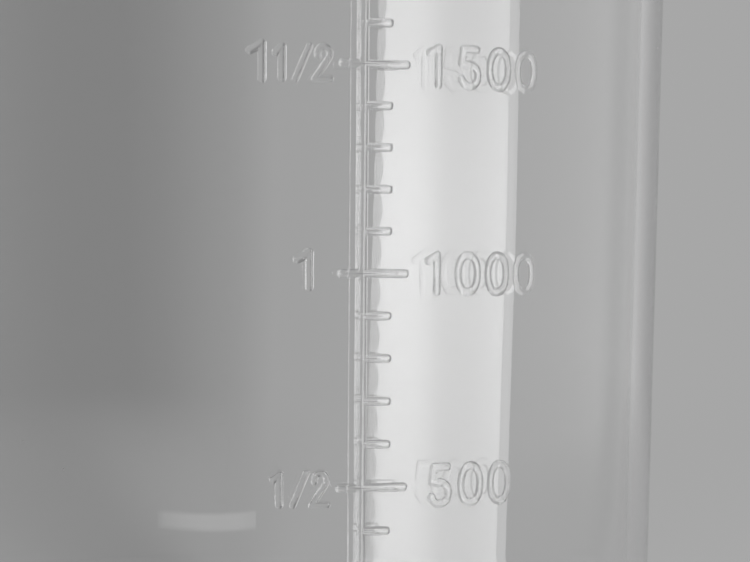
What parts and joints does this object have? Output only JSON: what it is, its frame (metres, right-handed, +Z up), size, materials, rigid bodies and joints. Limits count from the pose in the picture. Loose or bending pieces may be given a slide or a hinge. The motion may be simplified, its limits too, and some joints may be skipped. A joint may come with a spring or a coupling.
{
  "type": "graduated beaker",
  "caption": "Clear moulded plastic laboratory beaker with a pouring spout, raised millilitre and litre marks beside an upright spine, and a flat foot ring.",
  "frame": {"origin": "on the vessel's axis, at the plane the foot ring stands on", "axes": "+Z up along the vessel's axis, the scale faces -Y, the pouring spout points to -X"},
  "size_m": [0.1648, 0.1558, 0.165],
  "materials": {
    "clear_body": "clear, glossy, moulded",
    "raised_marks": "clear, glossy, moulded in relief"
  },
  "bodies": {
    "root": {"vessel_wall": "clear_body", "base": "clear_body", "foot_ring": "clear_body", "rim_bead": "clear_body", "pouring_spout": "clear_body", "scale_spine": "raised_marks", "short_ticks": "raised_marks", "long_ticks": "raised_marks", "numeral_500": "raised_marks", "numeral_1000": "raised_marks", "numeral_1500": "raised_marks", "numeral_2000": "raised_marks", "litre_half": "raised_marks", "litre_one": "raised_marks", "litre_one_and_half": "raised_marks", "litre_two": "raised_marks"}
  },
  "joints": []
}
